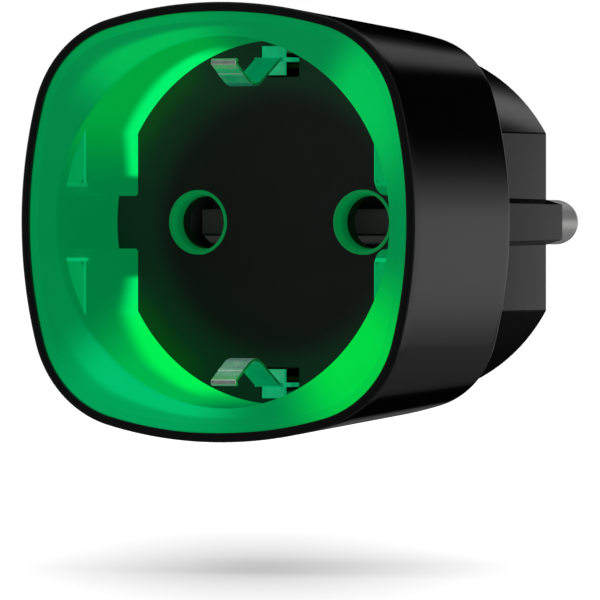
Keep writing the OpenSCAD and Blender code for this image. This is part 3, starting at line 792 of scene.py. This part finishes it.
def light_guide_mesh():
    angles = ring_angles(recess_ring(RIB_START, ribs=False))

    def outline(depth, inset, taper_depth=0.0):
        return polar_ring(depth, angles, lambda a: housing_radius(a, taper_depth, inset))

    rings = [
        outline(LIP_DEPTH + 0.05, RIM_W + 0.04),
        outline(LIP_DEPTH, RIM_W + 0.09),
        outline(LIP_DEPTH, RIM_W + LIP_W * 0.62),
        outline(LIP_DEPTH + 0.03, RIM_W + LIP_W * 0.68),
        outline(LIP_DEPTH + 0.03, RIM_W + LIP_W * 0.95),
    ]
    for t in (i / 12 for i in range(13)):
        rings.append(polar_ring(between((LIP_DEPTH + 0.08, FUNNEL_END), t), angles, lambda a: (
            between((housing_radius(a, 0, RIM_W + LIP_W), RECESS_R + 0.12), t))))
    rings.append(polar_ring(FUNNEL_END + 0.05, angles, lambda a: RECESS_R + 0.03))
    for d in (FUNNEL_END + 0.13, 1.9, 2.5, RIB_START):
        rings.append(flat_ring(recess_ring(d, ribs=False), d))
    for d in (0.0, 0.04, 0.1, 0.17, 0.25, 0.4, 0.6, 0.85, 1.2, 1.7, 2.4, 3.4, 5.0, 7.5, 10.0):
        rings.append(flat_ring(recess_ring(RIB_START + d), RIB_START + d))
    rings.append(flat_ring(recess_ring(FLOOR_DEPTH), FLOOR_DEPTH))
    rings.append(outline(FLOOR_DEPTH + 0.05, WALL + 0.2, FLOOR_DEPTH))
    rings.append(outline(1.55, WALL + 0.2, 1.5))
    rings.append(outline(1.5, RIM_W + 0.05))
    return loft("light_guide_shell", rings, loop=True, smooth_deg=28)


guide = light_guide_mesh()
dress(guide, "light_guide_green", "light_guide_green")
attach(guide, "housing")
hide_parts("light_guide")

for side, x in (("left", -PIN_X), ("right", PIN_X)):
    top = FLOOR_DEPTH
    profile = [(3.35, RING_END), (3.35, top + 0.08), (3.3, top + 0.02), (3.22, top), (3.14, top),
               (3.08, top + 0.02), (3.04, top + 0.08), (2.72, RING_END)]
    ring = revolve(f"{side}_light_ring", x, 0, profile, loop=True)
    dress(ring, "light_guide_green", "light_ring_green")
    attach(ring, "housing")
    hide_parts(f"{side}_pin_light_ring")


# ---------------------------------------------------------------- plug body

def plug_body_mesh():
    angles = ring_angles(plug_ring(SLOT_FRONT))

    def cavity(depth):
        return polar_ring(depth, angles, lambda a: flattened(a, CAVITY_R, CAVITY_FLAT))

    def skirt(depth, r):
        return polar_ring(depth, angles, lambda a: r)

    def flange(depth):
        return polar_ring(depth, angles, lambda a: housing_radius(a, FLANGE[1], WALL + 0.15))

    def outside(depth, inset=0.0, **shape):
        return flat_ring(plug_ring(depth, inset, **shape), depth)

    inner_skirt, outer_skirt = SKIRT_R
    rings = [
        cavity(BASE_BACK), cavity(FLANGE[0]),
        skirt(FLANGE[0], inner_skirt), skirt(SKIRT_FRONT, inner_skirt),
        skirt(SKIRT_FRONT, outer_skirt), skirt(FLANGE[0], outer_skirt),
        flange(FLANGE[0]), flange(FLANGE[1]),
        outside(FLANGE[1], ribs=False), outside(SHELL_DEPTH - 0.02, ribs=False),
        outside(SHELL_DEPTH - 0.02), outside(SLOT_FRONT), outside(SLOT_FRONT, slot=True),
    ]
    for a in (math.radians(90 * i / 4) for i in range(5)):
        inset = REAR_ROUND - REAR_ROUND * math.cos(a)
        rings.append(outside(REAR_FACE - REAR_ROUND + REAR_ROUND * math.sin(a), inset, slot=True))
    # One more ring on the flat rear face keeps its smooth shading off the edge
    rings.append(outside(REAR_FACE, REAR_ROUND + 0.08, slot=True))
    return loft("plug_body", rings)


body = plug_body_mesh()
for x, z in SCREW_PLACES:
    boolean(body, rod(x, z, BOSS_FRONT, BASE_BACK + 0.2, BOSS_R, 48), "UNION")
for x, z in SCREW_PLACES:
    boolean(body, rod(x, z, BOSS_FRONT - 1, 30, SCREW_HOLE_R, 32), "DIFFERENCE")
for x in (-PIN_X, PIN_X):
    boolean(body, rod(x, 0, BASE_BACK - 1, REAR_FACE + 1, PIN_R + PIN_GAP, 96), "DIFFERENCE")
    shoulder = rod(x, 0, BASE_BACK - 1, REAR_FACE - 0.1, PIN_SHOULDER_R + PIN_GAP, 96)
    boolean(body, shoulder, "DIFFERENCE")
clean(body)
dress(body, "matt_black", "matt_black", "upper_arc_lit_black", "lower_arc_shaded_black")
# The upper round faces behind the housing take the lit copy, the lower ones the shaded copy
for face in body.data.polygons:
    centre = face.center / MM
    if math.hypot(centre.x, centre.z) > PLUG_R - 0.06 and centre.y > HOUSING_HIGH.y:
        face.material_index = 1 if centre.z > 0 else 2
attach(body, "housing")
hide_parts("plug_base")


# ---------------------------------------------------------------- pins and earth contacts

for node, x in (("live_pin", PIN_X), ("neutral_pin", -PIN_X)):
    flange_front, flange_back = BASE_BACK - PIN_FLANGE_T, BASE_BACK - PIN_GAP
    profile = [(PIN_TAIL_R, PIN_TAIL_START), (PIN_TAIL_R, flange_front),
               (PIN_FLANGE_R, flange_front), (PIN_FLANGE_R, flange_back),
               (PIN_SHOULDER_R, flange_back), (PIN_SHOULDER_R, REAR_FACE - 0.1),
               (PIN_R, REAR_FACE - 0.1)]
    profile += [(PIN_R, d) for d in (48.0, 52.0, 56.0, 60.0)]
    profile += [(PIN_R * math.cos(a), PIN_TIP - PIN_R + PIN_R * math.sin(a))
                for a in (math.radians(88 * i / 16) for i in range(17))]
    pin = revolve(f"{node}_turned", x, 0, profile)
    dress(pin, "nickel_silver", "pin_nickel")
    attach(pin, "housing")
    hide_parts(node)


def fillet(points, radii, steps):
    """Rounds the inner corners of a [depth, z] polyline."""
    out = [Vector(points[0])]
    for i in range(1, len(points) - 1):
        p, a, b = Vector(points[i]), Vector(points[i - 1]), Vector(points[i + 1])
        u, v = (a - p).normalized(), (b - p).normalized()
        half = u.angle(v) / 2
        cut = radii[i - 1] / math.tan(half)
        centre = p + (u + v).normalized() * radii[i - 1] / math.sin(half)
        start, end = p + u * cut, p + v * cut
        a0 = math.atan2(start.y - centre.y, start.x - centre.x)
        a1 = math.atan2(end.y - centre.y, end.x - centre.x)
        turn = (a1 - a0 + math.pi) % (2 * math.pi) - math.pi
        for k in range(steps + 1):
            a = a0 + turn * k / steps
            out.append(centre + Vector((math.cos(a), math.sin(a))) * radii[i - 1])
    return out + [Vector(points[-1])]


def leaf_line():
    """Forward from the root, round the elbow, over a pressed band, to the lip that rolls back."""
    line = fillet(LEAF_CORNERS, LEAF_BENDS, 16)
    end = line.pop()
    start = line[-1]
    run = end - start
    back = Vector((run.y, -run.x)).normalized()
    for share in BAND_SHARES:
        for offset in (-0.03, -0.015, 0.015, 0.03):
            height = 1 if (offset > 0) == (share == BAND_SHARES[0]) else 0
            line.append(start + run * (share + offset) - back * BEAD_H * height)
    first = math.atan2(-back.y, -back.x)
    for i in range(15):
        a = first - math.radians(200 * i / 14)
        line.append(end + back * ROLL_R + Vector((math.cos(a), math.sin(a))) * ROLL_R)
    return line


def leaf_mesh(name, sign):
    """Flat strip with eased edges along the leaf's line; sign mirrors it downwards."""
    line = leaf_line()
    w, h, b = LEAF_HALF_W, LEAF_T / 2, LEAF_BEVEL
    section = [(b - w, h), (w - b, h), (w, h - b), (w, b - h),
               (w - b, -h), (b - w, -h), (-w, b - h), (-w, h - b)]
    rings = []
    for i, p in enumerate(line):
        ahead = line[min(i + 1, len(line) - 1)] - line[max(i - 1, 0)]
        normal = Vector((-ahead.y, ahead.x)).normalized()
        rings.append([at(x, p.x + normal.x * n, sign * (p.y + normal.y * n)) for x, n in section])
    return loft(name, rings, smooth_deg=40)


for word, sign in (("upper", 1), ("lower", -1)):
    leaf = leaf_mesh(f"{word}_leaf_spring", sign)
    dress(leaf, "nickel_silver", "lit_nickel")
    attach(leaf, f"{word}_leaf")
    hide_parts(f"{word}_earth_leaf")


# ---------------------------------------------------------------- shutter spring

def spring_mesh():
    up = Vector((0, -math.sin(SPRING_TILT), math.cos(SPRING_TILT)))
    u = Vector((1, 0, 0))
    v = up.cross(u)
    steps, sides = 28 * SPRING_TURNS, 10
    rings = []
    for i in range(steps + 1):
        t = i / steps
        # The end turns lie closer together than the middle ones
        rise = t - 0.3 / SPRING_TURNS * math.sin(2 * math.pi * t)
        a = 2 * math.pi * SPRING_TURNS * t
        radial = u * math.cos(a) + v * math.sin(a)
        height = 0.05 + WIRE_R + (SPRING_LENGTH - 2 * WIRE_R) * rise
        centre = Vector(SPRING_SEAT) + up * height + radial * COIL_R
        points = (centre + radial * WIRE_R * math.cos(b) + up * WIRE_R * math.sin(b)
                  for b in spread_angles(sides))
        rings.append([at(*p) for p in points])
    return loft("shutter_coil", rings), at(*SPRING_SEAT), up


coil, seat_point, slide_up = spring_mesh()
dress(coil, "spring_steel", "spring_steel")
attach(coil, "housing")
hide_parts("shutter_spring")
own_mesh(coil)


# ---------------------------------------------------------------- the other nodes

REPLACED = {
    "outer_housing", "light_guide", "left_pin_light_ring", "right_pin_light_ring", "plug_base",
    "live_pin", "neutral_pin", "upper_earth_leaf", "lower_earth_leaf", "shutter_spring",
}
OWN_PAINT = {"socket_floor": "socket_floor_black", "shutter_slider": "shutter_grey",
             "upper_earth_strip": "lit_strip", "lower_earth_strip": "lit_strip"}
for part in frame["record"]["subparts"]:
    node, slot_name = part["node"], part["material_slot"]
    if node in REPLACED:
        continue
    obj = frame["nodes"][node]
    coat(obj, OWN_PAINT.get(node, slot_name))
    bevel = obj.modifiers.new("eased_edges", "BEVEL")
    bevel.width = NODE_BEVEL * MM
    bevel.segments = 2
    bevel.limit_method = "ANGLE"
    bevel.angle_limit = math.radians(40)
    bevel.use_clamp_overlap = True


# ---------------------------------------------------------------- floor, lights and camera
# Metres from here on, apart from at()

CAMERA_TURN = math.radians(26.708)
CAMERA_AWAY = 0.8632
CAMERA_LENS = 508.1
AIM_RIGHT = 0.008657
AIM_DOWN = 0.00793

FLOOR_Z = -0.036
FLOOR_SIZE = 100
FLOOR_WHITE = 0.14
# The floor's glow paints a soft shadow: it is lowest at the shadow's centre and rises with the
# distance from it, counted in the oval's half axes
SHADOW_CENTRE = (-0.0074, at(0, 24.2, 0).y, 0.0)
SHADOW_SIZE = (0.0245, 0.122, 1.0)
SHADOW_RISE = (0.08, 1.6)
FLOOR_GLOW = (0.53, 1.08)

WORLD_DIM = 0.02
PANEL_SIDE, PANEL_TOP, PANEL_FRONT, PANEL_LOW = 0.8, 0.9, 0.05, 0.4

CARD_Y = 0.8
CARD_SIZE = 2.4
CARD_DISC = (0.2, 0.12)
CARD_CENTRE = 0.5
# Brightness at angles round the card's middle, in degrees
CARD_STOPS = (
    (-180, 0.08), (-150, 0.08), (-140, 0.0),
    (-102, 0.0), (-97, 0.04), (-90, 0.06), (-60, 0.1), (-40, 0.12),
    (-31, 0.27), (-26, 0.38), (-18, 0.43), (-6, 0.44), (2, 0.42), (6, 0.30), (10, 0.20),
    (15, 0.08), (21, 0.015), (27, 0.0),
    (66, 0.0), (73, 0.03), (82, 0.17), (88, 0.21), (101, 0.21), (107, 0.13), (115, 0.03),
    (127, 0.0),
)


def emissive(name, build):
    """Material whose surface is what build makes of a new node tree."""
    material = bpy.data.materials.new(name)
    material.use_nodes = True
    n = Nodes(material.node_tree)
    n.tree.nodes.clear()
    n.link(build(n), n.new("OutputMaterial").inputs["Surface"])
    return material


def white_glow(n, strength):
    glow = n.new("Emission")
    n.link(strength, glow.inputs["Strength"])
    return glow.outputs[0]


def floor_shader(n):
    diffuse = n.new("BsdfDiffuse")
    diffuse.inputs["Color"].default_value = (FLOOR_WHITE, FLOOR_WHITE, FLOOR_WHITE, 1)
    painted_shadow_oval = n.new("Mapping")
    painted_shadow_oval.vector_type = "TEXTURE"
    painted_shadow_oval.inputs["Location"].default_value = SHADOW_CENTRE
    painted_shadow_oval.inputs["Rotation"].default_value = (0, 0, CAMERA_TURN)
    painted_shadow_oval.inputs["Scale"].default_value = SHADOW_SIZE
    n.link(n.new("TexCoord").outputs["Object"], painted_shadow_oval.inputs["Vector"])
    away = n.new("VectorMath")
    away.operation = "LENGTH"
    n.link(painted_shadow_oval.outputs["Vector"], away.inputs[0])
    above = n.new("AddShader")
    n.link(diffuse.outputs[0], above.inputs[0])
    # The glow is lowest inside the oval: a painted shadow added to the one the top soft box casts
    strength = n.ramp(away.outputs["Value"], *SHADOW_RISE, *FLOOR_GLOW, "LINEAR")
    n.link(white_glow(n, strength), above.inputs[1])
    # Clear from underneath, so that views from below still show the plug
    either = n.new("MixShader")
    n.link(n.new("NewGeometry").outputs["Backfacing"], either.inputs[0])
    n.link(above.outputs[0], either.inputs[1])
    n.link(n.new("BsdfTransparent").outputs[0], either.inputs[2])
    return either.outputs[0]


def card_shader(n):
    """Brightness by angle round the middle, with an even disc in the middle."""
    x, y, _ = n.split(n.new("TexCoord").outputs["Object"])
    ramp = n.new("ValToRGB")
    n.link(n.plus(n.math("DIVIDE", n.math("ARCTAN2", y, x), 2 * math.pi), 0.5), ramp.inputs[0])
    stops = ramp.color_ramp.elements
    stops.remove(stops[-1])
    for i, (degrees, level) in enumerate(CARD_STOPS):
        stop = stops.new(degrees / 360 + 0.5) if i else stops[0]
        stop.color = (level, level, level, 1)
    level = n.new("Mix")
    n.link(n.ramp(n.radius(x, y), *CARD_DISC), level.inputs[0])
    n.link(ramp.outputs[0], level.inputs[2])
    level.inputs[3].default_value = CARD_CENTRE
    return white_glow(n, level.outputs[0])


def studio_world():
    """White to the camera; gloss sees panels at both sides, overhead, below and dimly in front."""
    world = bpy.data.worlds.new("studio")
    bpy.context.scene.world = world
    world.use_nodes = True
    n = Nodes(world.node_tree)
    n.tree.nodes.clear()
    x, y, z = n.split(n.new("TexCoord").outputs["Generated"])
    side = n.times(n.ramp(n.size(x), 0.5, 0.85), n.ramp(n.size(z), 0.75, 0.15))
    panels = n.plus(n.times(side, PANEL_SIDE), n.times(n.ramp(z, 0.6, 0.95), PANEL_TOP))
    panels = n.plus(panels, n.times(n.ramp(y, -0.75, -0.98), PANEL_FRONT))
    panels = n.plus(panels, n.times(n.ramp(z, -0.5, -0.95), PANEL_LOW))
    ray = n.new("LightPath").outputs
    level = n.plus(n.times(panels, ray["Is Glossy Ray"]), WORLD_DIM)
    level = n.math("MAXIMUM", ray["Is Camera Ray"], level)
    background = n.new("Background")
    background.inputs["Color"].default_value = (1, 1, 1, 1)
    n.link(level, background.inputs["Strength"])
    n.link(background.outputs[0], n.new("OutputWorld").inputs["Surface"])


def soft_box(name, location, side, power):
    """Square light aimed at the plug's middle, which gloss doesn't show."""
    data = bpy.data.lights.new(name, "AREA")
    data.shape = "RECTANGLE"
    data.size = data.size_y = side
    data.energy = power
    light = bpy.data.objects.new(name, data)
    light.location = location
    light.rotation_euler = (Vector() - light.location).to_track_quat("-Z", "Y").to_euler()
    light.visible_camera = False
    light.visible_glossy = False
    bpy.context.scene.collection.objects.link(light)


bpy.ops.mesh.primitive_plane_add(size=FLOOR_SIZE, location=(0, 0, FLOOR_Z))
floor = bpy.context.object
floor.name = "studio_floor"
floor.data.materials.append(emissive("studio_floor", floor_shader))
floor.visible_glossy = False

soft_box("top_soft_box", (0.0, 0.05, 0.9), 1.4, 20.0)
soft_box("left_soft_box", (-0.95, -0.7, 0.5), 0.6, 3.0)
studio_world()

# Reflector card behind the plug: a wide gradient that the glossy sides mirror
bpy.ops.mesh.primitive_plane_add(size=CARD_SIZE, location=(0, CARD_Y, 0),
                                 rotation=(math.radians(90), 0, 0))
card = bpy.context.object
card.name = "reflector_card"
card.data.materials.append(emissive("reflector_card", card_shader))
card.visible_camera = False
card.visible_diffuse = False
card.visible_shadow = False

camera_data = bpy.data.cameras.new("camera")
camera_data.lens = CAMERA_LENS
camera_data.sensor_width = 36
camera_data.clip_start = 0.05
camera_data.clip_end = 200
camera = bpy.data.objects.new("camera", camera_data)
bpy.context.scene.collection.objects.link(camera)
bpy.context.scene.camera = camera
ahead = Vector((-math.sin(CAMERA_TURN), math.cos(CAMERA_TURN), 0))
right = Vector((math.cos(CAMERA_TURN), math.sin(CAMERA_TURN), 0))
front_centre = at(0, 0, 0)
camera.location = front_centre - CAMERA_AWAY * ahead
aim = front_centre + AIM_RIGHT * right - Vector((0, 0, AIM_DOWN))
camera.rotation_euler = (aim - camera.location).to_track_quat("-Z", "Y").to_euler()
bpy.context.scene.view_settings.view_transform = "Standard"
